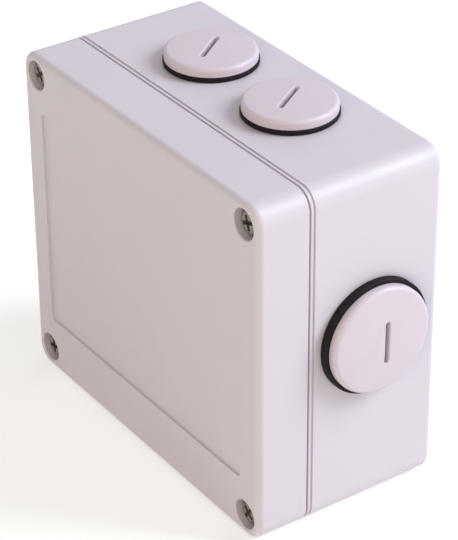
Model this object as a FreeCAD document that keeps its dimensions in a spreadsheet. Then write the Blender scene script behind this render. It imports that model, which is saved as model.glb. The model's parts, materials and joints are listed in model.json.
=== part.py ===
"""Weatherproof moulded enclosure with a screwed lid and three blanked conduit entries.

Shared frame, in millimetres: +X is the right side seen from the front, -Y is the front
where the lid is, +Z is up. The origin is the middle of the underside of the box.
"""

import math
import os

import FreeCAD
import Part
import Sketcher

# Driving sizes: name in the sheet, value in millimetres, meaning
SIZES = [
    ("case_width", 110.0, "outside width, left to right"),
    ("case_height", 100.0, "outside height, bottom to top"),
    ("case_depth", 57.0, "outside depth, lid face to back"),
    ("lid_depth", 15.9, "lid face to the parting plane"),
    ("corner_radius", 5.4, "rounding of the four long corners"),
    ("front_rounding", 1.8, "rounding round the edge of the lid face"),
    ("back_rounding", 2.0, "rounding round the back edge"),
    ("wall", 3.2, "side walls of the base"),
    ("back_wall", 3.0, "back of the base"),
    ("lid_face", 3.0, "face of the lid"),
    ("screw_inset_side", 6.4, "lid screw axis from the side of the case"),
    ("screw_inset_end", 6.2, "lid screw axis from the top or bottom of the case"),
    ("post_margin", 0.9, "screw post beyond a circle that reaches the side of the case"),
    ("seam_gap", 0.65, "height of the shadow gap under the lid edge"),
    ("seam_setback", 0.9, "depth of the shadow gap"),
    ("rim_band", 0.63, "band of the base between the two seam lines"),
    ("rim_line", 0.7, "height of the fine groove below the band"),
    ("rim_line_depth", 0.4, "depth of that groove"),
    ("tongue_width", 1.2, "sealing tongue on the rim of the base"),
    ("tongue_height", 2.4, "tongue above the parting plane"),
    ("tongue_clearance", 0.35, "tongue to the sides of its groove in the lid"),
    ("groove_lip", 1.2, "inner lip of the lid beside the groove"),
    ("gasket_thickness", 1.5, "sealing cord, between groove floor and tongue"),
    ("gasket_clearance", 0.1, "cord to the sides of the groove"),
    ("panel_margin_side", 8.3, "label recess from the side of the lid"),
    ("panel_margin_end", 16.9, "label recess from the top or bottom of the lid"),
    ("panel_radius", 1.5, "corner rounding of the label recess"),
    ("panel_recess", 0.7, "depth of the label recess"),
    ("well_diameter", 8.4, "screw well in the lid"),
    ("well_bevel", 0.3, "bevel of the mouth of a well"),
    ("head_recess", 1.3, "top of a screw head below the lid face"),
    ("head_diameter", 7.6, "lid screw head"),
    ("head_height", 2.7, "lid screw head"),
    ("head_rounding", 1.7, "rounding of the head"),
    ("recess_span", 4.2, "cross recess, tip to tip"),
    ("recess_width", 1.1, "width of one arm of the cross recess"),
    ("recess_depth", 1.5, "depth of the cross recess"),
    ("screw_diameter", 4.0, "lid screw shank"),
    ("screw_point", 0.8, "chamfer at the end of the shank"),
    ("screw_clearance", 0.35, "shank to the hole in the lid and to the insert"),
    ("insert_wall", 1.0, "brass insert, bore to outside"),
    ("insert_length", 8.0, "brass insert"),
    ("insert_chamfer", 0.4, "lead in of the insert"),
    ("insert_fit", 0.05, "insert to its bore in the post"),
    ("tail_room", 2.0, "free bore below the end of a screw"),
    ("top_entry", 20.0, "threaded conduit entry in the top wall"),
    ("side_entry", 25.0, "threaded conduit entry in the right wall"),
    ("entry_spacing", 35.7, "centre to centre of the two top entries"),
    ("entry_height", 52.6, "side entry axis above the underside"),
    ("entry_forward", 1.0, "side entry axis in front of the middle of the base"),
    ("entry_boss_wall", 3.0, "boss about an entry, inside the case"),
    ("entry_boss_length", 4.6, "boss inside the wall"),
    ("thread_clearance", 0.3, "plug shank to the entry"),
    ("top_plug", 25.4, "head diameter of a top plug"),
    ("side_plug", 30.5, "head diameter of the side plug"),
    ("top_plug_head", 2.45, "thickness of a top plug's head"),
    ("side_plug_head", 2.4, "thickness of the side plug's head"),
    ("plug_crown", 0.6, "rise of the head's face from its rim to its middle"),
    ("plug_rounding", 1.2, "rounding of the head's rim"),
    ("plug_wall", 2.2, "wall of the hollow shank"),
    ("plug_shank", 7.4, "shank inside the outer wall face"),
    ("plug_point", 0.8, "lead in of the shank"),
    ("slot_length", 12.4, "coin slot"),
    ("slot_width", 1.4, "coin slot"),
    ("slot_depth", 2.6, "coin slot, from the middle of the head's face"),
    ("slot_rounding", 0.35, "rounding of the mouth of the slot"),
    ("top_slot_offset", 0.4, "slot beside the middle of a top plug's head"),
    ("side_slot_offset", 1.2, "slot beside the middle of the side plug's head"),
    ("side_slot_drop", 0.8, "slot below the middle of the side plug's head"),
    ("top_washer", 26.1, "outside diameter of a top washer"),
    ("side_washer", 32.8, "outside diameter of the side washer"),
    ("top_washer_height", 1.5, "thickness of a top washer"),
    ("side_washer_height", 2.3, "thickness of the side washer"),
    ("washer_bevel", 0.3, "bevel of the washer's outer edges"),
    ("fixing_spacing_x", 80.0, "fixing holes in the back, across"),
    ("fixing_spacing_z", 64.0, "fixing holes in the back, up"),
    ("fixing_diameter", 4.8, "fixing hole"),
    ("fixing_collar", 10.0, "raised collar about a fixing hole"),
    ("fixing_collar_height", 1.6, "collar above the floor of the base"),
]

# Angle of each coin slot about its plug's axis, in degrees
SLOT_ANGLE = {"top_left": -53.6, "top_right": -57.2, "side": -0.6}

# Sizes worked out from the driving ones
HALF_WIDTH = "Sizes.case_width / 2"
HALF_HEIGHT = "Sizes.case_height / 2"
BASE_DEPTH = "Sizes.case_depth - Sizes.lid_depth"
PARTING_Y = "Sizes.lid_depth - Sizes.case_depth / 2"
SCREW_X = "(Sizes.case_width / 2 - Sizes.screw_inset_side)"
SCREW_Z = "(Sizes.case_height / 2 - Sizes.screw_inset_end)"
POST_RADIUS = "max(Sizes.screw_inset_side; Sizes.screw_inset_end) + Sizes.post_margin"
TONGUE_INSET = "Sizes.wall - Sizes.tongue_width"
GROOVE_OUTER = "Sizes.wall - Sizes.tongue_width - Sizes.tongue_clearance"
GROOVE_INNER = "Sizes.wall + Sizes.tongue_clearance"
GROOVE_DEPTH = "Sizes.tongue_height + Sizes.gasket_thickness"
LID_WALL = "Sizes.wall + Sizes.tongue_clearance + Sizes.groove_lip"
WELL_DEPTH = "Sizes.head_recess + Sizes.head_height"
HOLE_RADIUS = "Sizes.screw_diameter / 2 + Sizes.screw_clearance"
INSERT_RADIUS = "Sizes.screw_diameter / 2 + Sizes.screw_clearance + Sizes.insert_wall"
SHANK_LENGTH = "Sizes.lid_depth - Sizes.head_recess - Sizes.head_height + Sizes.insert_length"
SCREW_SEAT_Y = "Sizes.head_recess + Sizes.head_height - Sizes.case_depth / 2"
ENTRY_DROP = "(Sizes.case_depth - Sizes.lid_depth) / 2"
ENTRY_Y = "Sizes.lid_depth / 2"
SIDE_ENTRY_Y = "Sizes.lid_depth / 2 - Sizes.entry_forward"
ENTRY_INNER = "Sizes.wall + Sizes.entry_boss_length"

# The four corners as seen from the front: name, side of X, side of Z
CORNERS = [
    ("top_left", -1, 1),
    ("top_right", 1, 1),
    ("bottom_left", -1, -1),
    ("bottom_right", 1, -1),
]
# How far each screw's cross recess is turned, in degrees
RECESS_ANGLE = {"top_left": 35.0, "top_right": 20.0, "bottom_left": 10.0, "bottom_right": 52.0}

# Turns the flat drawing frame of the shells upright, lid to the front
UPRIGHT = FreeCAD.Rotation(FreeCAD.Vector(1, 0, 0), 90)
# Turns a plug from pointing up to pointing right
SIDEWAYS = FreeCAD.Rotation(FreeCAD.Vector(0, 1, 0), 90)

# Sketch numbers: the origin is the start point of the horizontal axis
Y_AXIS, X_AXIS = range(-2, 0)
ORIGIN = X_AXIS
START, END, CENTRE = range(1, 4)

doc = FreeCAD.newDocument("weatherproof_enclosure")


def make_sheet():
    """Write the driving sizes to the sheet, one row each."""
    sheet = doc.addObject("Spreadsheet::Sheet", "Sizes")
    for row, (alias, value, meaning) in enumerate(SIZES, start=1):
        sheet.set(f"A{row}", meaning)
        sheet.set(f"B{row}", str(value))
        sheet.setAlias(f"B{row}", alias)
    doc.recompute()
    return sheet


sizes = make_sheet()


def number(expression):
    """Present value of an expression on the sheet."""
    return float(sizes.evalExpression(expression))


def negative(expression):
    """The same expression with its sign turned."""
    return f"-({expression})"


def signed(sign, expression):
    """The expression on one side of the middle or the other."""
    return expression if sign > 0 else negative(expression)


class Drawing:
    """A sketch on one of a body's own planes, with its sizes tied to the sheet."""

    def __init__(self, body, name, plane="XY_Plane", height="0", turn=0.0):
        self.sketch = body.newObject("Sketcher::SketchObject", name)
        planes = [item for item in body.Origin.OriginFeatures if item.Role == plane]
        self.sketch.AttachmentSupport = [(planes[0], "")]
        self.sketch.MapMode = "FlatFace"
        about_normal = FreeCAD.Rotation(FreeCAD.Vector(0, 0, 1), turn)
        self.sketch.AttachmentOffset = FreeCAD.Placement(FreeCAD.Vector(0, 0, 0), about_normal)
        self.sketch.setExpression("AttachmentOffset.Base.z", height)

    def rule(self, *terms):
        """Add a constraint that has no size."""
        self.sketch.addConstraint(Sketcher.Constraint(*terms))

    def measure(self, expression, *terms):
        """Add a constraint whose size follows an expression."""
        index = self.sketch.addConstraint(Sketcher.Constraint(*terms, number(expression)))
        self.sketch.renameConstraint(index, f"size_{index}")
        self.sketch.setExpression(f"Constraints.size_{index}", expression)

    def across(self, expression, geometry, point):
        """Hold a point at a distance from the sketch's vertical axis."""
        if number(expression) == 0:
            self.rule("PointOnObject", geometry, point, Y_AXIS)
        else:
            self.measure(expression, "DistanceX", ORIGIN, START, geometry, point)

    def along(self, expression, geometry, point):
        """Hold a point at a distance from the sketch's horizontal axis."""
        if number(expression) == 0:
            self.rule("PointOnObject", geometry, point, X_AXIS)
        else:
            self.measure(expression, "DistanceY", ORIGIN, START, geometry, point)

    def circle(self, x, y, radius):
        """Draw a circle about a point."""
        middle = FreeCAD.Vector(number(x), number(y), 0)
        shape = Part.Circle(middle, FreeCAD.Vector(0, 0, 1), number(radius))
        index = self.sketch.addGeometry(shape, False)
        self.across(x, index, CENTRE)
        self.along(y, index, CENTRE)
        self.measure(radius, "Radius", index)

    def polygon(self, points):
        """Draw a closed outline of straight lines through the given points."""
        corners = [FreeCAD.Vector(number(x), number(y), 0) for x, y in points]
        count = len(corners)
        lines = []
        for index in range(count):
            line = Part.LineSegment(corners[index], corners[(index + 1) % count])
            lines.append(self.sketch.addGeometry(line, False))
        for index in range(count):
            self.rule("Coincident", lines[index - 1], END, lines[index], START)
        for line, (x, y) in zip(lines, points):
            self.across(x, line, START)
            self.along(y, line, START)

    def rectangle(self, width, height):
        """Draw a rectangle about the middle."""
        right = f"({width}) / 2"
        high = f"({height}) / 2"
        left = negative(right)
        low = negative(high)
        self.polygon([(left, low), (right, low), (right, high), (left, high)])

    def arc(self, middle, radius, first, last):
        """Draw an arc, anticlockwise from the first angle to the last, in degrees."""
        circle = Part.Circle(middle, FreeCAD.Vector(0, 0, 1), radius)
        shape = Part.ArcOfCircle(circle, math.radians(first), math.radians(last))
        return self.sketch.addGeometry(shape, False)

    def slot(self, length, width, middle_x, middle_y):
        """Draw a slot with round ends about a point, along the horizontal axis."""
        right_x = f"({middle_x}) + (({length}) - ({width})) / 2"
        left_x = f"({middle_x}) - (({length}) - ({width})) / 2"
        right = number(right_x)
        left = number(left_x)
        y = number(middle_y)
        r = number(width) / 2
        low = Part.LineSegment(FreeCAD.Vector(left, y - r, 0), FreeCAD.Vector(right, y - r, 0))
        high = Part.LineSegment(FreeCAD.Vector(right, y + r, 0), FreeCAD.Vector(left, y + r, 0))
        outline = [
            self.sketch.addGeometry(low, False),
            self.arc(FreeCAD.Vector(right, y, 0), r, -90, 90),
            self.sketch.addGeometry(high, False),
            self.arc(FreeCAD.Vector(left, y, 0), r, 90, 270),
        ]
        for turn in range(4):
            self.rule("Tangent", outline[turn - 1], END, outline[turn], START)
        self.rule("Equal", outline[1], outline[3])
        self.measure(f"({width}) / 2", "Radius", outline[1])
        self.across(right_x, outline[1], CENTRE)
        self.along(middle_y, outline[1], CENTRE)
        self.across(left_x, outline[3], CENTRE)
        self.along(middle_y, outline[3], CENTRE)

    def dome(self, radius, foot, crest):
        """Draw half the section of a low dome about the vertical axis."""
        r = number(radius)
        low = number(foot)
        high = number(crest)
        ball = (r ** 2 + (high - low) ** 2) / (2 * (high - low))
        edge = FreeCAD.Vector(r, low, 0)
        middle = FreeCAD.Vector(0, low, 0)
        chord = self.sketch.addGeometry(Part.LineSegment(edge, middle), False)
        rise = self.sketch.addGeometry(Part.LineSegment(middle, FreeCAD.Vector(0, high, 0)), False)
        first = math.degrees(math.atan2(low - high + ball, r))
        face = self.arc(FreeCAD.Vector(0, high - ball, 0), ball, first, 90)
        self.rule("Coincident", chord, END, rise, START)
        self.rule("Coincident", rise, END, face, END)
        self.rule("Coincident", face, START, chord, START)
        self.across("0", face, CENTRE)
        self.across("0", rise, START)
        self.along(foot, rise, START)
        self.across("0", rise, END)
        self.along(crest, rise, END)
        self.across(radius, chord, START)
        self.along(foot, chord, START)

    def rounded_rectangle(self, half_width, half_height, radius):
        """Draw a rectangle about the middle, with its corners rounded."""
        a = number(half_width)
        b = number(half_height)
        r = number(radius)
        ends = [
            ((r - a, -b), (a - r, -b)),
            ((a, r - b), (a, b - r)),
            ((a - r, b), (r - a, b)),
            ((-a, b - r), (-a, r - b)),
        ]
        lines = []
        for first, last in ends:
            line = Part.LineSegment(FreeCAD.Vector(*first, 0), FreeCAD.Vector(*last, 0))
            lines.append(self.sketch.addGeometry(line, False))
        arcs = []
        for turn, (x, y) in enumerate([(1, -1), (1, 1), (-1, 1), (-1, -1)]):
            middle = FreeCAD.Vector(x * (a - r), y * (b - r), 0)
            arcs.append(self.arc(middle, r, 90 * turn - 90, 90 * turn))
        for turn in range(4):
            self.rule("Tangent", lines[turn], END, arcs[turn], START)
            self.rule("Tangent", arcs[turn], END, lines[(turn + 1) % 4], START)
        for turn in (1, 2, 3):
            self.rule("Equal", arcs[0], arcs[turn])
        self.rule("Horizontal", lines[0])
        self.rule("Vertical", lines[1])
        self.rule("Horizontal", lines[2])
        self.rule("Vertical", lines[3])
        self.measure(radius, "Radius", arcs[0])
        self.across(half_width, lines[1], START)
        self.across(negative(half_width), lines[3], START)
        self.along(half_height, lines[2], START)
        self.along(negative(half_height), lines[0], START)

    def walls_and_posts(self, inset):
        """Draw the four walls at an inset, led round the inside of each screw post."""
        post_radius = f"{POST_RADIUS} + ({inset}) - Sizes.wall"
        wall_x = f"{HALF_WIDTH} - ({inset})"
        wall_y = f"{HALF_HEIGHT} - ({inset})"
        a = number(wall_x)
        b = number(wall_y)
        r = number(post_radius)
        post_x = number(SCREW_X)
        post_y = number(SCREW_Z)
        reach_x = math.sqrt(r ** 2 - (b - post_y) ** 2)
        reach_y = math.sqrt(r ** 2 - (a - post_x) ** 2)
        near_x = post_x - reach_x
        near_y = post_y - reach_y
        ends = [
            ((-near_x, -b), (near_x, -b)),
            ((a, -near_y), (a, near_y)),
            ((near_x, b), (-near_x, b)),
            ((-a, near_y), (-a, -near_y)),
        ]
        lines = []
        for first, last in ends:
            line = Part.LineSegment(FreeCAD.Vector(*first, 0), FreeCAD.Vector(*last, 0))
            lines.append(self.sketch.addGeometry(line, False))
        rise_x = math.degrees(math.asin((a - post_x) / r))
        rise_y = math.degrees(math.asin((b - post_y) / r))
        spans = [
            ((1, -1), 90 - rise_x, 180 + rise_y),
            ((1, 1), 180 - rise_y, 270 + rise_x),
            ((-1, 1), 270 - rise_x, 360 + rise_y),
            ((-1, -1), -rise_y, 90 + rise_x),
        ]
        arcs = []
        for (x, y), first, last in spans:
            middle = FreeCAD.Vector(x * post_x, y * post_y, 0)
            arcs.append(self.arc(middle, r, first, last))
        for turn, span in enumerate(spans):
            x, y = span[0]
            self.rule("Coincident", lines[turn], END, arcs[turn], END)
            self.rule("Coincident", lines[(turn + 1) % 4], START, arcs[turn], START)
            self.across(signed(x, SCREW_X), arcs[turn], CENTRE)
            self.along(signed(y, SCREW_Z), arcs[turn], CENTRE)
            self.measure(post_radius, "Radius", arcs[turn])
        self.rule("Horizontal", lines[0])
        self.rule("Vertical", lines[1])
        self.rule("Horizontal", lines[2])
        self.rule("Vertical", lines[3])
        self.along(negative(wall_y), lines[0], START)
        self.across(wall_x, lines[1], START)
        self.along(wall_y, lines[2], START)
        self.across(negative(wall_x), lines[3], START)

    def at_corners(self, radius):
        """Draw one circle on each lid screw axis."""
        for name, x, y in CORNERS:
            self.circle(signed(x, SCREW_X), signed(y, SCREW_Z), radius)


def new_body(name):
    """Start a sub-part with its own name."""
    body = doc.addObject("PartDesign::Body", name)
    body.Label = name
    return body


def place(body, x="0", y="0", z="0", rotation=None):
    """Put a finished body in the shared frame."""
    body.Placement = FreeCAD.Placement(FreeCAD.Vector(0, 0, 0), rotation or FreeCAD.Rotation())
    body.setExpression("Placement.Base.x", x)
    body.setExpression("Placement.Base.y", y)
    body.setExpression("Placement.Base.z", z)
    doc.recompute()


def pad(body, drawing, name, length, turned=False):
    """Raise a sketch into solid, along its plane's normal unless turned."""
    before = 0.0 if body.Shape.isNull() else body.Shape.Volume
    feature = body.newObject("PartDesign::Pad", name)
    feature.Profile = drawing.sketch
    feature.setExpression("Length", length)
    feature.Reversed = turned
    doc.recompute()
    if body.Shape.Volume <= before:
        raise RuntimeError(f"{body.Label}: {name} adds nothing")
    return feature


def pocket(body, drawing, name, depth, turned=False):
    """Cut a sketch out of the solid, against its plane's normal unless turned."""
    before = body.Shape.Volume
    feature = body.newObject("PartDesign::Pocket", name)
    feature.Profile = drawing.sketch
    feature.setExpression("Length", depth)
    feature.Reversed = turned
    doc.recompute()
    if body.Shape.Volume >= before:
        raise RuntimeError(f"{body.Label}: {name} cuts nothing")
    return feature


def revolve(body, drawing, name):
    """Turn a sketch on the XZ plane once round the body's Z axis."""
    feature = body.newObject("PartDesign::Revolution", name)
    feature.Profile = drawing.sketch
    feature.ReferenceAxis = (drawing.sketch, ["V_Axis"])
    feature.Angle = 360
    doc.recompute()
    return feature


def ease_edges(body, base, name, kind, size_name, size, chosen):
    """Take the edge off a feature wherever its edges pass a test."""
    edges = base.Shape.Edges
    names = [f"Edge{index}" for index, edge in enumerate(edges, start=1) if chosen(edge)]
    feature = body.newObject(kind, name)
    feature.Base = (base, names)
    feature.setExpression(size_name, size)
    doc.recompute()
    return feature


def rounding(body, base, name, radius, chosen):
    """Round the edges that pass a test."""
    return ease_edges(body, base, name, "PartDesign::Fillet", "Radius", radius, chosen)


def bevel(body, base, name, size, chosen):
    """Bevel the edges that pass a test."""
    return ease_edges(body, base, name, "PartDesign::Chamfer", "Size", size, chosen)


def near(value, target):
    """Two lengths that are the same but for rounding."""
    return abs(value - target) < 0.001


def lies_at(height):
    """Test for an edge that lies at one height of its body."""
    def test(edge):
        return all(near(vertex.Z, height) for vertex in edge.Vertexes)
    return test


def lies_within(radius, height):
    """Test for an edge above one height that stays within a radius of the body's axis."""
    def test(edge):
        if edge.Degenerated:
            return False
        return all(v.Z > height and math.hypot(v.X, v.Y) < radius for v in edge.Vertexes)
    return test


def ring_edge(radius, height):
    """Test for a circular edge of one radius at one height of its body."""
    def test(edge):
        if edge.Degenerated or not isinstance(edge.Curve, Part.Circle):
            return False
        return near(edge.Curve.Radius, radius) and near(edge.Curve.Center.z, height)
    return test


def outside_ring(body, name, height, depth):
    """Sketch of a band that reaches a little into the outside of the case."""
    drawing = Drawing(body, name, height=height)
    drawing.rounded_rectangle(f"{HALF_WIDTH} + ({depth})", f"{HALF_HEIGHT} + ({depth})",
                              f"Sizes.corner_radius + ({depth})")
    drawing.rounded_rectangle(f"{HALF_WIDTH} - ({depth})", f"{HALF_HEIGHT} - ({depth})",
                              f"Sizes.corner_radius - ({depth})")
    return drawing


def case_outline(body, name):
    """Sketch of the outside of the case on the parting plane."""
    drawing = Drawing(body, name)
    drawing.rounded_rectangle(HALF_WIDTH, HALF_HEIGHT, "Sizes.corner_radius")
    return drawing


# The shells are drawn lying on their backs: the parting plane is XY and the lid face is up.


def make_base():
    """Deep moulded base with screw posts, sealing tongue, entries and fixing holes."""
    body = new_body("enclosure_base")
    block = pad(body, case_outline(body, "base_outline"), "base_block", BASE_DEPTH, turned=True)
    rounding(body, block, "base_back_edge", "Sizes.back_rounding", lies_at(-number(BASE_DEPTH)))

    hollow = Drawing(body, "base_hollow_outline")
    hollow.walls_and_posts("Sizes.wall")
    pocket(body, hollow, "base_hollow", f"{BASE_DEPTH} - Sizes.back_wall")

    tongue = Drawing(body, "tongue_outline")
    tongue.walls_and_posts("Sizes.wall")
    tongue.walls_and_posts(TONGUE_INSET)
    pad(body, tongue, "tongue", "Sizes.tongue_height")

    line = outside_ring(body, "rim_line_outline", negative("Sizes.rim_band"), "Sizes.rim_line_depth")
    pocket(body, line, "rim_line", "Sizes.rim_line")

    bore = Drawing(body, "insert_bore_outline")
    bore.at_corners(f"{INSERT_RADIUS} + Sizes.insert_fit")
    pocket(body, bore, "insert_bores", "Sizes.insert_length")
    tail = Drawing(body, "tail_bore_outline")
    tail.at_corners(HOLE_RADIUS)
    pocket(body, tail, "tail_bores", "Sizes.insert_length + Sizes.tail_room")

    make_entries(body)
    make_fixings(body)
    place(body, y=PARTING_Y, z=HALF_HEIGHT, rotation=UPRIGHT)
    return body


def make_entries(body):
    """Two bossed entries in the top wall and one in the right wall."""
    side_y = f"Sizes.entry_height - {HALF_HEIGHT}"
    drop = negative(ENTRY_DROP)
    side_drop = f"Sizes.entry_forward - {ENTRY_DROP}"
    steps = [
        ("boss", "Sizes.entry_boss_wall", pad, "Sizes.entry_boss_length", negative(ENTRY_INNER)),
        ("hole", "0", pocket, ENTRY_INNER, "0"),
    ]
    for step, beyond, operation, length, rise in steps:
        top_radius = f"Sizes.top_entry / 2 + {beyond}"
        top = Drawing(body, f"top_entry_{step}_outline", "XZ_Plane", negative(f"{HALF_HEIGHT} + {rise}"))
        top.circle("Sizes.entry_spacing / 2", drop, top_radius)
        top.circle("-Sizes.entry_spacing / 2", drop, top_radius)
        operation(body, top, f"top_entry_{step}", length, turned=True)
        side = Drawing(body, f"side_entry_{step}_outline", "YZ_Plane", f"{HALF_WIDTH} + {rise}")
        side.circle(side_y, side_drop, f"Sizes.side_entry / 2 + {beyond}")
        operation(body, side, f"side_entry_{step}", length)


def make_fixings(body):
    """Four collared fixing holes through the back."""
    floor = f"Sizes.back_wall - ({BASE_DEPTH})"
    steps = [
        ("collar", "Sizes.fixing_collar / 2", pad, "Sizes.fixing_collar_height", floor),
        ("hole", "Sizes.fixing_diameter / 2", pocket,
         "Sizes.back_wall + Sizes.fixing_collar_height", f"{floor} + Sizes.fixing_collar_height"),
    ]
    for step, radius, operation, length, height in steps:
        drawing = Drawing(body, f"fixing_{step}_outline", height=height)
        for name, x, y in CORNERS:
            across = signed(x, "Sizes.fixing_spacing_x / 2")
            up = signed(y, "Sizes.fixing_spacing_z / 2")
            drawing.circle(across, up, radius)
        operation(body, drawing, f"fixing_{step}s", length)


def make_lid():
    """Shallow moulded lid with a sealing groove, a label recess and four screw wells."""
    body = new_body("lid")
    block = pad(body, case_outline(body, "lid_outline"), "lid_block", "Sizes.lid_depth")
    rounding(body, block, "lid_front_edge", "Sizes.front_rounding", lies_at(number("Sizes.lid_depth")))

    hollow = Drawing(body, "lid_hollow_outline")
    hollow.walls_and_posts(LID_WALL)
    pocket(body, hollow, "lid_hollow", "Sizes.lid_depth - Sizes.lid_face", turned=True)

    groove = Drawing(body, "groove_outline")
    groove.walls_and_posts(GROOVE_INNER)
    groove.walls_and_posts(GROOVE_OUTER)
    pocket(body, groove, "gasket_groove", GROOVE_DEPTH, turned=True)

    gap = outside_ring(body, "seam_gap_outline", "0", "Sizes.seam_setback")
    pocket(body, gap, "seam_gap", "Sizes.seam_gap", turned=True)

    panel = Drawing(body, "panel_outline", height="Sizes.lid_depth")
    panel.rounded_rectangle(f"{HALF_WIDTH} - Sizes.panel_margin_side",
                            f"{HALF_HEIGHT} - Sizes.panel_margin_end", "Sizes.panel_radius")
    pocket(body, panel, "label_panel", "Sizes.panel_recess")

    hole = Drawing(body, "screw_hole_outline", height="Sizes.lid_depth")
    hole.at_corners(HOLE_RADIUS)
    pocket(body, hole, "screw_holes", "Sizes.lid_depth")
    well = Drawing(body, "screw_well_outline", height="Sizes.lid_depth")
    well.at_corners("Sizes.well_diameter / 2")
    wells = pocket(body, well, "screw_wells", WELL_DEPTH)
    mouth_radius = number("Sizes.well_diameter / 2")
    bevel(body, wells, "well_mouths", "Sizes.well_bevel", ring_edge(mouth_radius, number("Sizes.lid_depth")))

    place(body, y=PARTING_Y, z=HALF_HEIGHT, rotation=UPRIGHT)
    return body


def make_gasket():
    """Sealing cord that lies in the lid's groove and meets the tongue."""
    body = new_body("lid_gasket")
    outer = f"{GROOVE_OUTER} + Sizes.gasket_clearance"
    inner = f"{GROOVE_INNER} - Sizes.gasket_clearance"
    ring = Drawing(body, "gasket_outline", height="Sizes.tongue_height")
    for inset in (outer, inner):
        ring.walls_and_posts(inset)
    pad(body, ring, "gasket_cord", "Sizes.gasket_thickness")
    place(body, y=PARTING_Y, z=HALF_HEIGHT, rotation=UPRIGHT)
    return body


def make_screw(name, x_side, z_side, recess_angle):
    """Pan head lid screw with a cross recess, drawn with its head up."""
    body = new_body(name)
    profile = Drawing(body, f"{name}_profile", "XZ_Plane")
    tip = negative(SHANK_LENGTH)
    profile.polygon([
        ("0", tip),
        ("Sizes.screw_diameter / 2 - Sizes.screw_point", tip),
        ("Sizes.screw_diameter / 2", f"Sizes.screw_point - ({SHANK_LENGTH})"),
        ("Sizes.screw_diameter / 2", "0"),
        ("Sizes.head_diameter / 2", "0"),
        ("Sizes.head_diameter / 2", "Sizes.head_height"),
        ("0", "Sizes.head_height"),
    ])
    blank = revolve(body, profile, f"{name}_blank")
    head_edge = ring_edge(number("Sizes.head_diameter / 2"), number("Sizes.head_height"))
    rounding(body, blank, f"{name}_crown", "Sizes.head_rounding", head_edge)
    arms = [("arm_a", "Sizes.recess_span", "Sizes.recess_width"),
            ("arm_b", "Sizes.recess_width", "Sizes.recess_span")]
    for arm, width, height in arms:
        drawing = Drawing(body, f"{name}_{arm}_outline", height="Sizes.head_height", turn=recess_angle)
        drawing.rectangle(width, height)
        pocket(body, drawing, f"{name}_{arm}", "Sizes.recess_depth")
    place(body, signed(x_side, SCREW_X), SCREW_SEAT_Y, f"{HALF_HEIGHT} + {signed(z_side, SCREW_Z)}", UPRIGHT)
    return body


def make_insert(name, x_side, z_side):
    """Brass insert, flush with the rim and seated on the step of its bore."""
    body = new_body(name)
    profile = Drawing(body, f"{name}_profile", "XZ_Plane")
    bottom = negative("Sizes.insert_length")
    profile.polygon([
        (HOLE_RADIUS, bottom),
        (f"{INSERT_RADIUS} - Sizes.insert_chamfer", bottom),
        (INSERT_RADIUS, "Sizes.insert_chamfer - Sizes.insert_length"),
        (INSERT_RADIUS, "0"),
        (f"{HOLE_RADIUS} + Sizes.insert_chamfer", "0"),
        (HOLE_RADIUS, "-Sizes.insert_chamfer"),
    ])
    revolve(body, profile, f"{name}_sleeve")
    place(body, signed(x_side, SCREW_X), PARTING_Y, f"{HALF_HEIGHT} + {signed(z_side, SCREW_Z)}", UPRIGHT)
    return body


def make_plug(name, wall_side, slot, x, y, z, rotation):
    """Screwed blanking plug: crowned slotted head, hollow shank. Z is its axis, wall face at 0."""
    body = new_body(name)
    profile = Drawing(body, f"{name}_profile", "XZ_Plane")
    seat = f"Sizes.{wall_side}_washer_height"
    rim = f"{seat} + Sizes.{wall_side}_plug_head"
    crest = f"{rim} + Sizes.plug_crown"
    bottom = negative("Sizes.plug_shank")
    head = f"Sizes.{wall_side}_plug / 2"
    shank = f"Sizes.{wall_side}_entry / 2 - Sizes.thread_clearance"
    bore = f"{shank} - Sizes.plug_wall"
    profile.polygon([
        ("0", "0"),
        (bore, "0"),
        (bore, bottom),
        (f"{shank} - Sizes.plug_point", bottom),
        (shank, "Sizes.plug_point - Sizes.plug_shank"),
        (shank, seat),
        (head, seat),
        (head, rim),
        ("0", rim),
    ])
    revolve(body, profile, f"{name}_blank")
    crown = Drawing(body, f"{name}_crown_section", "XZ_Plane")
    crown.dome(head, rim, crest)
    blank = revolve(body, crown, f"{name}_crown")
    rounding(body, blank, f"{name}_rim", "Sizes.plug_rounding", ring_edge(number(head), number(rim)))
    slot_angle, slot_x, slot_y = slot
    outline = Drawing(body, f"{name}_slot_outline", height=crest, turn=slot_angle)
    outline.slot("Sizes.slot_length", "Sizes.slot_width", slot_x, slot_y)
    cut = pocket(body, outline, f"{name}_slot", "Sizes.slot_depth")
    mouth = lies_within(number(f"{head} - Sizes.plug_rounding"), number(rim))
    rounding(body, cut, f"{name}_slot_mouth", "Sizes.slot_rounding", mouth)
    place(body, x, y, z, rotation)
    return body


def make_washer(name, wall_side, x, y, z, rotation):
    """Flat rubber washer between a plug's head and the wall."""
    body = new_body(name)
    outer = f"Sizes.{wall_side}_washer / 2"
    height = f"Sizes.{wall_side}_washer_height"
    ring = Drawing(body, f"{name}_outline")
    ring.circle("0", "0", outer)
    ring.circle("0", "0", f"Sizes.{wall_side}_entry / 2")
    blank = pad(body, ring, f"{name}_ring", height)
    low = ring_edge(number(outer), 0)
    high = ring_edge(number(outer), number(height))
    bevel(body, blank, f"{name}_edge", "Sizes.washer_bevel", lambda edge: low(edge) or high(edge))
    place(body, x, y, z, rotation)
    return body


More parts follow.
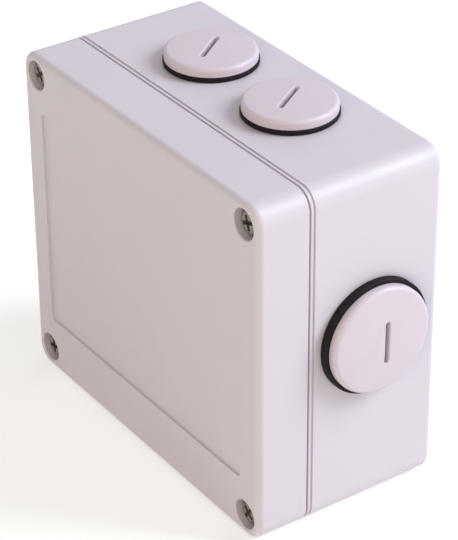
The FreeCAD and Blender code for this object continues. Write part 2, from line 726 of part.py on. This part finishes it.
def make_all():
    """Build every sub-part in its place."""
    bodies = [make_base(), make_lid(), make_gasket()]
    for corner, x_side, z_side in CORNERS:
        bodies.append(make_screw(f"lid_screw_{corner}", x_side, z_side, RECESS_ANGLE[corner]))
        bodies.append(make_insert(f"insert_{corner}", x_side, z_side))
    upward = FreeCAD.Rotation()
    entries = [
        ("top_left", "top", "-Sizes.entry_spacing / 2", ENTRY_Y, "Sizes.case_height", upward),
        ("top_right", "top", "Sizes.entry_spacing / 2", ENTRY_Y, "Sizes.case_height", upward),
        ("side", "side", HALF_WIDTH, SIDE_ENTRY_Y, "Sizes.entry_height", SIDEWAYS),
    ]
    slot_middle = {
        "top": ("0", "-Sizes.top_slot_offset"),
        "side": ("Sizes.side_slot_drop", "Sizes.side_slot_offset"),
    }
    for entry, wall_side, x, y, z, rotation in entries:
        slot = (SLOT_ANGLE[entry], *slot_middle[wall_side])
        bodies.append(make_plug(f"plug_{entry}", wall_side, slot, x, y, z, rotation))
        bodies.append(make_washer(f"washer_{entry}", wall_side, x, y, z, rotation))
    return bodies


def check(bodies):
    """Stop if any object failed or any sub-part is not one valid solid."""
    for item in doc.Objects:
        if "Invalid" in item.State or "Error" in item.State:
            raise RuntimeError(f"{item.Label} failed: {item.State}")
    for body in bodies:
        shape = body.Shape
        if shape.isNull() or not shape.isValid() or len(shape.Solids) != 1:
            raise RuntimeError(f"{body.Label} is not one valid solid")


def write(bodies):
    """Write one file for each sub-part."""
    os.makedirs("parts", exist_ok=True)
    for body in bodies:
        body.Shape.exportStep(os.path.join("parts", f"{body.Label}.step"))
        print(f"{body.Label}: {body.Shape.Volume:.1f} mm3")


all_bodies = make_all()
doc.recompute()
check(all_bodies)
write(all_bodies)
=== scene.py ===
"""Looks of the weatherproof enclosure, in metres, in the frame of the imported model."""

import json
import math

import bpy
from mathutils import Matrix, Vector


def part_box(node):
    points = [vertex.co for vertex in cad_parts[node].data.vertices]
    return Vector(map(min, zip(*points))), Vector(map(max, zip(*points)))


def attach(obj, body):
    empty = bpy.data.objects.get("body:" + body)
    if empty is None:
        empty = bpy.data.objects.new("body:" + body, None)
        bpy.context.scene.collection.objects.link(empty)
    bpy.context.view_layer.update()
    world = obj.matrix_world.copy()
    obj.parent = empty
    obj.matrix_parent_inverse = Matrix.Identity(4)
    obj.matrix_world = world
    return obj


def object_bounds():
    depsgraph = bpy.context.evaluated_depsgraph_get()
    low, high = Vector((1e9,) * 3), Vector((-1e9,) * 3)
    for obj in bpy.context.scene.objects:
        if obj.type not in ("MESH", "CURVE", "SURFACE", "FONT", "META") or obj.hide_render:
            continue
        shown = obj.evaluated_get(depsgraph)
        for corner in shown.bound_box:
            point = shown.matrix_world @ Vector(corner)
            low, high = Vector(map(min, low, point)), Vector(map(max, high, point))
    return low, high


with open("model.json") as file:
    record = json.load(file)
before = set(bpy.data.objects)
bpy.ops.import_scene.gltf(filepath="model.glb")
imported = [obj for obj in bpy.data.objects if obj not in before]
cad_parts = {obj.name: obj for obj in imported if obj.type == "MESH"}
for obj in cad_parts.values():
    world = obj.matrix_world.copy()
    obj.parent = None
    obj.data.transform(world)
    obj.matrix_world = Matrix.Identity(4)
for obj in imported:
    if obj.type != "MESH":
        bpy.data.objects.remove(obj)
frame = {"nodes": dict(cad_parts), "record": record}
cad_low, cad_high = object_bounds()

CORNERS = ["top_left", "top_right", "bottom_left", "bottom_right"]
ENTRIES = ["top_left", "top_right", "side"]
MM = 0.001

# Camera of the photograph, in the part's frame
CAMERA_PLACE = Vector((453.82, -312.12, 385.15)) * MM
CAMERA_RIGHT = Vector((0.57130, 0.82071, -0.00719))
CAMERA_DOWN = Vector((0.42642, -0.30430, -0.85180))
CAMERA_LENS = 158.686
CAMERA_SENSOR = 36.0
CAMERA_NEAREST = 0.02
CAMERA_FARTHEST = 20.0

# Colours as the shader takes them, linear
CASE_COLOUR = (0.667, 0.587, 0.657)
CASE_SHADE = (0.653, 0.573, 0.643)
PLUG_COLOUR = (0.660, 0.553, 0.625)
PLUG_SHADE = (0.640, 0.533, 0.605)
RUBBER_COLOUR = (0.011, 0.008, 0.010)
RUBBER_BLOOM = (0.021, 0.016, 0.020)
STEEL_COLOUR = (0.30, 0.25, 0.235)
STEEL_DULL = (0.15, 0.122, 0.112)
BRASS_COLOUR = (0.71, 0.52, 0.22)
BRASS_DULL = (0.55, 0.38, 0.15)
FOAM_COLOUR = (0.060, 0.060, 0.064)
FOAM_SHADE = (0.035, 0.035, 0.038)
FLOOR_COLOUR = (0.86, 0.85, 0.84)
WHITE = (1.0, 1.0, 1.0, 1.0)

# Other values of the surfaces
CASE_ROUGHNESS = 0.43
PLUG_ROUGHNESS = 0.40
PLASTIC_SPREAD = 0.05
PLASTIC_IOR = 1.49
RUBBER_SPECULAR = 0.12
STEEL_METALLIC = 0.6
BRASS_METALLIC = 1.0
FLOOR_ROUGHNESS = 0.9
SCRATCH_STRETCH = (1.0, 1.0, 6.0)
TURNING_STRETCH = (1.0, 8.0, 1.0)

# Threads: how much of its pitch a ridge fills at its root, its crest against its root, the share
# of a turn over which it tapers at each end, and the least share of its height that is left there
THREAD_SHARE = 0.6
CREST_SHARE = 0.35
TAPER_TURN = 0.25
TAPER_LEAST = 0.02

# Plugs and their entries: heights count from the face of the wall, out of the case
PLUG_PITCH = 1.5 * MM
PLUG_STEPS = 64
ENTRY_RADIUS = {"top_left": 10.0 * MM, "top_right": 10.0 * MM, "side": 12.5 * MM}
PLUG_ROOT_INSET = 0.4 * MM
PLUG_CREST_INSET = 0.06 * MM
PLUG_SPAN = (-6.5 * MM, -0.5 * MM)
ENTRY_ROOT_OUTSET = 0.1 * MM
ENTRY_CREST_INSET = 0.24 * MM
ENTRY_SPAN = (-7.2 * MM, -0.7 * MM)

# Lid screws and their inserts: radii at root and crest, and heights from the inner end
SCREW_PITCH = 0.7 * MM
SCREW_STEPS = 32
SCREW_RADII = (1.94 * MM, 2.2 * MM)
SCREW_SPAN = (1.2 * MM, 12.0 * MM)
INSERT_RADII = (2.42 * MM, 2.28 * MM)
INSERT_SPAN = (0.8 * MM, 7.2 * MM)

# Surroundings, floor and lamps
WORLD_LIGHT = 0.48
WORLD_SEEN = 1.0
FLOOR_LIFT = 0.40
FLOOR_RADIUS = 1.6
FLOOR_SIDES = 96
FLOOR_DROP = 0.1 * MM
KEY_PLACE = (0.628, 0.864, 0.826)
KEY_SIZE = 0.65
KEY_POWER = 15.8
KEY_COLOUR = (0.805, 0.92, 1.0)
FILL_PLACE = (0.70, -1.15, 0.35)
FILL_SIZE = 0.9
FILL_POWER = 6.3
FILL_COLOUR = (1.0, 0.94, 0.575)


class Nodes:
    """A node material with one principled shader, and short ways to add to it."""

    def __init__(self, name):
        self.material = bpy.data.materials.new(name)
        self.material.use_nodes = True
        self.tree = self.material.node_tree
        self.shader = self.tree.nodes["Principled BSDF"]
        self.place = self.add("ShaderNodeTexCoord").outputs["Object"]

    def add(self, kind, **settings):
        node = self.tree.nodes.new(kind)
        for name, value in settings.items():
            setattr(node, name, value)
        return node

    def link(self, output, target):
        self.tree.links.new(output, target)

    def noise(self, scale, detail=2.0, rough=0.5, stretch=None):
        """Noise in object space, from 0 to 1. Scale is in waves a metre."""
        texture = self.add("ShaderNodeTexNoise")
        texture.inputs["Scale"].default_value = scale
        texture.inputs["Detail"].default_value = detail
        texture.inputs["Roughness"].default_value = rough
        source = self.place
        if stretch is not None:
            mapping = self.add("ShaderNodeMapping")
            mapping.inputs["Scale"].default_value = stretch
            self.link(source, mapping.inputs["Vector"])
            source = mapping.outputs["Vector"]
        self.link(source, texture.inputs["Vector"])
        return texture.outputs["Fac"]

    def cells(self, scale):
        """Distance to the nearest of many scattered points, in object space."""
        texture = self.add("ShaderNodeTexVoronoi")
        texture.inputs["Scale"].default_value = scale
        self.link(self.place, texture.inputs["Vector"])
        return texture.outputs["Distance"]

    def remap(self, value, low, high, first=0.3, last=0.7):
        """The value stretched from the range first to last onto the range low to high."""
        node = self.add("ShaderNodeMapRange")
        node.inputs["From Min"].default_value = first
        node.inputs["From Max"].default_value = last
        node.inputs["To Min"].default_value = low
        node.inputs["To Max"].default_value = high
        self.link(value, node.inputs["Value"])
        return node.outputs["Result"]

    def colours(self, value, first, second):
        """A blend of two colours, led by a value."""
        node = self.add("ShaderNodeMix", data_type="RGBA")
        for socket in node.inputs:
            if socket.type == "RGBA" and socket.name == "A":
                socket.default_value = (*first, 1.0)
            if socket.type == "RGBA" and socket.name == "B":
                socket.default_value = (*second, 1.0)
        self.link(value, node.inputs["Factor"])
        for socket in node.outputs:
            if socket.type == "RGBA":
                return socket

    def bump(self, height, distance, strength=1.0, under=None):
        """A bump of a real height, laid over another if one is given."""
        node = self.add("ShaderNodeBump")
        node.inputs["Strength"].default_value = strength
        node.inputs["Distance"].default_value = distance
        self.link(height, node.inputs["Height"])
        if under is not None:
            self.link(under, node.inputs["Normal"])
        return node.outputs["Normal"]

    def finish(self, colour, roughness, normal):
        self.link(colour, self.shader.inputs["Base Color"])
        self.link(roughness, self.shader.inputs["Roughness"])
        self.link(normal, self.shader.inputs["Normal"])
        return self.material


def moulded_plastic(name, colour, shade, roughness):
    """Satin moulded plastic: faint mottling, slow sink marks and a fine spark-eroded grain."""
    nodes = Nodes(name)
    mottling = nodes.remap(nodes.noise(scale=55, detail=4.0, rough=0.6), low=0.0, high=1.0)
    tone = nodes.colours(mottling, colour, shade)
    rough = nodes.remap(nodes.noise(scale=140, detail=3.0),
                        low=roughness - PLASTIC_SPREAD, high=roughness + PLASTIC_SPREAD)
    slow = nodes.bump(nodes.noise(scale=28, detail=1.0), distance=0.00012, strength=0.6)
    grain = nodes.bump(nodes.noise(scale=2600, detail=3.0, rough=0.6),
                       distance=0.000014, strength=0.6, under=slow)
    nodes.shader.inputs["IOR"].default_value = PLASTIC_IOR
    return nodes.finish(tone, rough, grain)


def black_rubber(name):
    """Dull sealing rubber with a faint bloom."""
    nodes = Nodes(name)
    bloom = nodes.remap(nodes.noise(scale=420, detail=4.0, rough=0.65),
                        low=0.0, high=1.0, first=0.4, last=0.75)
    tone = nodes.colours(bloom, RUBBER_COLOUR, RUBBER_BLOOM)
    rough = nodes.remap(nodes.noise(scale=700), low=0.58, high=0.72)
    grain = nodes.bump(nodes.noise(scale=3200), distance=0.00002, strength=0.5)
    nodes.shader.inputs["Specular IOR Level"].default_value = RUBBER_SPECULAR
    return nodes.finish(tone, rough, grain)


def gasket_foam(name):
    """Closed-cell sealing cord."""
    nodes = Nodes(name)
    tone = nodes.colours(nodes.noise(scale=900, detail=3.0), FOAM_COLOUR, FOAM_SHADE)
    rough = nodes.remap(nodes.noise(scale=600), low=0.75, high=0.9)
    cell = nodes.bump(nodes.cells(scale=2600), distance=0.00005, strength=0.7)
    return nodes.finish(tone, rough, cell)


def plated_steel(name):
    """Zinc-plated screw steel, dulled in patches and finely scratched by handling."""
    nodes = Nodes(name)
    patches = nodes.remap(nodes.noise(scale=650, detail=4.0, rough=0.65), low=0.0, high=1.0)
    tone = nodes.colours(patches, STEEL_COLOUR, STEEL_DULL)
    rough = nodes.remap(nodes.noise(scale=1100, detail=3.0), low=0.26, high=0.44)
    scratches = nodes.bump(nodes.noise(scale=1800, stretch=SCRATCH_STRETCH),
                           distance=0.000012, strength=0.5)
    nodes.shader.inputs["Metallic"].default_value = STEEL_METALLIC
    return nodes.finish(tone, rough, scratches)


def turned_brass(name):
    """Brass insert with turning lines and a faint tarnish."""
    nodes = Nodes(name)
    tarnish = nodes.remap(nodes.noise(scale=500, detail=4.0), low=0.0, high=1.0)
    tone = nodes.colours(tarnish, BRASS_COLOUR, BRASS_DULL)
    rough = nodes.remap(nodes.noise(scale=900, detail=3.0), low=0.22, high=0.38)
    lines = nodes.bump(nodes.noise(scale=2200, stretch=TURNING_STRETCH),
                       distance=0.00001, strength=0.5)
    nodes.shader.inputs["Metallic"].default_value = BRASS_METALLIC
    return nodes.finish(tone, rough, lines)


CASE = moulded_plastic("case_plastic_look", CASE_COLOUR, CASE_SHADE, CASE_ROUGHNESS)
PLUG = moulded_plastic("plug_plastic_look", PLUG_COLOUR, PLUG_SHADE, PLUG_ROUGHNESS)
RUBBER = black_rubber("washer_rubber_look")
FOAM = gasket_foam("gasket_foam_look")
STEEL = plated_steel("screw_steel_look")
BRASS = turned_brass("insert_brass_look")
LOOKS = {
    "case_plastic": CASE,
    "plug_plastic": PLUG,
    "washer_rubber": RUBBER,
    "gasket_foam": FOAM,
    "screw_steel": STEEL,
    "insert_brass": BRASS,
}


def dress_nodes():
    """Give every node the look of its material slot."""
    slots = {item["node"]: item["material_slot"] for item in frame["record"]["subparts"]}
    for name, node in frame["nodes"].items():
        for slot in node.material_slots:
            slot.material = LOOKS[slots[name]]


def helix(name, radii, pitch, span, steps, lead=0.0):
    """A right-hand screw thread about Z, as a closed ridge from a root radius to a crest radius.

    It runs over a span of heights and tapers to almost nothing at both ends. Steps are counted in
    a turn. Lead is the height at which it passes the X axis, so that two threads can interleave.
    """
    root, crest = radii
    start, end = span
    count = int((end - start) / pitch * steps)
    taper = steps * TAPER_TURN
    half_root = pitch * THREAD_SHARE / 2
    half_crest = half_root * CREST_SHARE
    sides = 4
    points = []
    faces = []
    for index in range(count + 1):
        height = start + pitch * index / steps
        angle = 2 * math.pi * (height - lead) / pitch
        run_out = min(1.0, index / taper, (count - index) / taper)
        top = root + (crest - root) * max(run_out, TAPER_LEAST)
        section = [(root, -half_root), (top, -half_crest), (top, half_crest), (root, half_root)]
        for radius, offset in section:
            points.append((radius * math.cos(angle), radius * math.sin(angle), height + offset))
    for index in range(count):
        for side in range(sides):
            a = sides * index + side
            b = sides * index + (side + 1) % sides
            faces.append((a, b, b + sides, a + sides))
    faces.append(tuple(reversed(range(sides))))
    faces.append(tuple(sides * count + side for side in range(sides)))
    if crest > root:
        faces = [tuple(reversed(face)) for face in faces]
    mesh = bpy.data.meshes.new(name)
    mesh.from_pydata(points, [], faces)
    mesh.validate()
    mesh.update()
    piece = bpy.data.objects.new(name, mesh)
    bpy.context.scene.collection.objects.link(piece)
    return piece


def seat(piece, matrix, look, body):
    """Put a piece in its place, give it its look and let it ride on a body."""
    piece.data.transform(matrix)
    piece.data.materials.append(look)
    for face in piece.data.polygons:
        face.use_smooth = True
    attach(piece, body)


def add_threads():
    """Threads on the plugs, in their entries, on the lid screws and in the inserts."""
    sideways = Matrix.Rotation(math.radians(90), 4, "Y")
    forward = Matrix.Rotation(math.radians(90), 4, "X")
    for entry in ENTRIES:
        low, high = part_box(f"washer_{entry}")
        centre = (low + high) / 2
        if entry == "side":
            matrix = Matrix.Translation((low.x, centre.y, centre.z)) @ sideways
        else:
            matrix = Matrix.Translation((centre.x, centre.y, low.z))
        radius = ENTRY_RADIUS[entry]
        plug = helix(f"plug_thread_{entry}", (radius - PLUG_ROOT_INSET, radius - PLUG_CREST_INSET),
                     PLUG_PITCH, PLUG_SPAN, PLUG_STEPS)
        seat(plug, matrix, PLUG, f"plug_{entry}")
        wall = helix(f"entry_thread_{entry}",
                     (radius + ENTRY_ROOT_OUTSET, radius - ENTRY_CREST_INSET),
                     PLUG_PITCH, ENTRY_SPAN, PLUG_STEPS, lead=PLUG_PITCH / 2)
        seat(wall, matrix, CASE, "base")
    for corner in CORNERS:
        low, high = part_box(f"lid_screw_{corner}")
        centre = (low + high) / 2
        matrix = Matrix.Translation((centre.x, high.y, centre.z)) @ forward
        screw = helix(f"screw_thread_{corner}", SCREW_RADII, SCREW_PITCH, SCREW_SPAN, SCREW_STEPS)
        seat(screw, matrix, STEEL, f"screw_{corner}")
        insert_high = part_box(f"insert_{corner}")[1]
        matrix = Matrix.Translation((centre.x, insert_high.y, centre.z)) @ forward
        inner = helix(f"insert_thread_{corner}", INSERT_RADII, SCREW_PITCH, INSERT_SPAN,
                      SCREW_STEPS)
        seat(inner, matrix, BRASS, "base")


def white_when_seen(tree):
    """One for a camera, glossy or transmission ray, and zero for the rest."""
    path = tree.nodes.new("ShaderNodeLightPath")
    total = path.outputs["Is Camera Ray"]
    for name in ("Is Glossy Ray", "Is Transmission Ray"):
        larger = tree.nodes.new("ShaderNodeMath")
        larger.operation = "MAXIMUM"
        tree.links.new(total, larger.inputs[0])
        tree.links.new(path.outputs[name], larger.inputs[1])
        total = larger.outputs[0]
    return total


def light_world():
    """Even pale surroundings: white to the eye, weaker as light."""
    world = bpy.data.worlds.new("studio")
    bpy.context.scene.world = world
    world.use_nodes = True
    tree = world.node_tree
    background = tree.nodes["Background"]
    background.inputs["Color"].default_value = WHITE
    strength = tree.nodes.new("ShaderNodeMapRange")
    strength.inputs["To Min"].default_value = WORLD_LIGHT
    strength.inputs["To Max"].default_value = WORLD_SEEN
    tree.links.new(white_when_seen(tree), strength.inputs["Value"])
    tree.links.new(strength.outputs["Result"], background.inputs["Strength"])


def make_floor():
    """Pale floor that reads as nearly white and keeps the object's shadow."""
    mesh = bpy.data.meshes.new("floor")
    points = []
    for index in range(FLOOR_SIDES):
        angle = 2 * math.pi * index / FLOOR_SIDES
        points.append((FLOOR_RADIUS * math.cos(angle), FLOOR_RADIUS * math.sin(angle), 0.0))
    mesh.from_pydata(points, [], [tuple(range(FLOOR_SIDES))])
    floor = bpy.data.objects.new("floor", mesh)
    bpy.context.scene.collection.objects.link(floor)
    material = bpy.data.materials.new("floor_look")
    material.use_nodes = True
    tree = material.node_tree
    shader = tree.nodes["Principled BSDF"]
    shader.inputs["Base Color"].default_value = (*FLOOR_COLOUR, 1.0)
    shader.inputs["Roughness"].default_value = FLOOR_ROUGHNESS
    shader.inputs["Specular IOR Level"].default_value = 0.0
    shader.inputs["Emission Color"].default_value = WHITE
    lift = tree.nodes.new("ShaderNodeMath")
    lift.operation = "MULTIPLY"
    lift.inputs[1].default_value = FLOOR_LIFT
    tree.links.new(white_when_seen(tree), lift.inputs[0])
    tree.links.new(lift.outputs[0], shader.inputs["Emission Strength"])
    mesh.materials.append(material)
    floor.location.z = cad_low.z - FLOOR_DROP


def add_lamp(name, place, size, power, colour):
    """A square soft box that faces the middle of the part."""
    lamp = bpy.data.lights.new(name, "AREA")
    lamp.shape = "SQUARE"
    lamp.size = size
    lamp.energy = power
    lamp.color = colour
    item = bpy.data.objects.new(name, lamp)
    item.location = place
    item.rotation_mode = "QUATERNION"
    aim = (cad_low + cad_high) / 2 - Vector(place)
    item.rotation_quaternion = aim.to_track_quat("-Z", "Y")
    bpy.context.scene.collection.objects.link(item)


def add_lamps():
    """A cool key from the right and behind, and a warm fill from the front and right."""
    add_lamp("key_lamp", KEY_PLACE, KEY_SIZE, KEY_POWER, KEY_COLOUR)
    add_lamp("fill_lamp", FILL_PLACE, FILL_SIZE, FILL_POWER, FILL_COLOUR)


def add_camera():
    """Camera of the photograph."""
    camera = bpy.data.cameras.new("camera")
    camera.lens = CAMERA_LENS
    camera.sensor_width = CAMERA_SENSOR
    camera.clip_start = CAMERA_NEAREST
    camera.clip_end = CAMERA_FARTHEST
    item = bpy.data.objects.new("camera", camera)
    up = -CAMERA_DOWN
    back = CAMERA_RIGHT.cross(up)
    turn = Matrix((CAMERA_RIGHT, up, back)).transposed()
    item.matrix_world = Matrix.Translation(CAMERA_PLACE) @ turn.to_4x4()
    bpy.context.scene.collection.objects.link(item)
    bpy.context.scene.camera = item


dress_nodes()
add_threads()
light_world()
make_floor()
add_lamps()
add_camera()
bpy.context.scene.view_settings.view_transform = "Standard"
